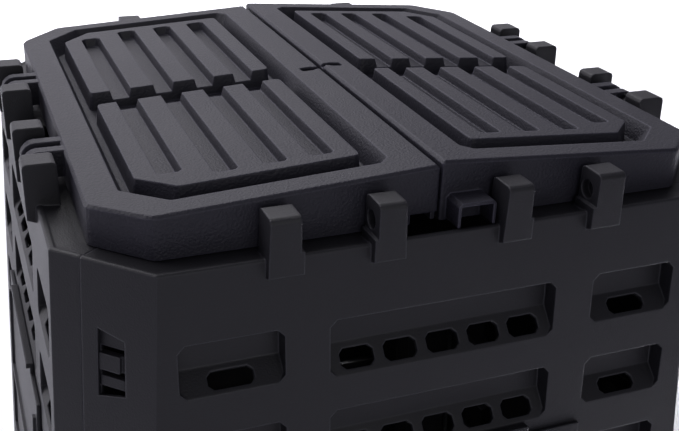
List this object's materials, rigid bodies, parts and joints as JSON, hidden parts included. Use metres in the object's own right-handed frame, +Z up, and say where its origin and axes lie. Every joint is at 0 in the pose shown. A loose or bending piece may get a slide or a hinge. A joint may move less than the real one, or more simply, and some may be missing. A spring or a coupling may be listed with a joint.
{
  "type": "compost bin",
  "caption": "Free-standing panelled garden compost bin in black plastic with a hinged two-leaf lid and a sliding hatch in each wall.",
  "frame": {"origin": "middle of the footprint, on the ground", "axes": "+Z up; the front wall faces -Y; the lid leaves hinge along the left (-X) and right (+X) walls"},
  "size_m": [0.6184, 0.6184, 0.8298],
  "materials": {
    "body_plastic": "fine grained, moulded",
    "lid_plastic": "fine grained, moulded"
  },
  "bodies": {
    "bin": {"wall_front": "body_plastic", "wall_right": "body_plastic", "wall_back": "body_plastic", "wall_left": "body_plastic", "hinge_pin_left_front": "body_plastic", "hinge_pin_left_back": "body_plastic", "hinge_pin_right_front": "body_plastic", "hinge_pin_right_back": "body_plastic"},
    "lid_left": {"lid_leaf_left": "lid_plastic"},
    "lid_right": {"lid_leaf_right": "lid_plastic"},
    "hatch_front": {"hatch_front": "body_plastic"},
    "hatch_right": {"hatch_right": "body_plastic"},
    "hatch_back": {"hatch_back": "body_plastic"},
    "hatch_left": {"hatch_left": "body_plastic"}
  },
  "joints": [
    {"name": "lid_left_hinge", "type": "hinge", "parent": "bin", "child": "lid_left", "pos_m": [-0.245, 0, 0.8025], "axis": [0, -1, 0], "range_deg": [0, 100]},
    {"name": "lid_right_hinge", "type": "hinge", "parent": "bin", "child": "lid_right", "pos_m": [0.245, 0, 0.8025], "axis": [0, 1, 0], "range_deg": [0, 100]},
    {"name": "hatch_front_slide", "type": "slide", "parent": "bin", "child": "hatch_front", "axis": [0, 0.0658, 0.9978], "range_m": [0, 0.14]},
    {"name": "hatch_right_slide", "type": "slide", "parent": "bin", "child": "hatch_right", "axis": [-0.0658, 0, 0.9978], "range_m": [0, 0.14]},
    {"name": "hatch_back_slide", "type": "slide", "parent": "bin", "child": "hatch_back", "axis": [0, -0.0658, 0.9978], "range_m": [0, 0.14]},
    {"name": "hatch_left_slide", "type": "slide", "parent": "bin", "child": "hatch_left", "axis": [0.0658, 0, 0.9978], "range_m": [0, 0.14]}
  ]
}
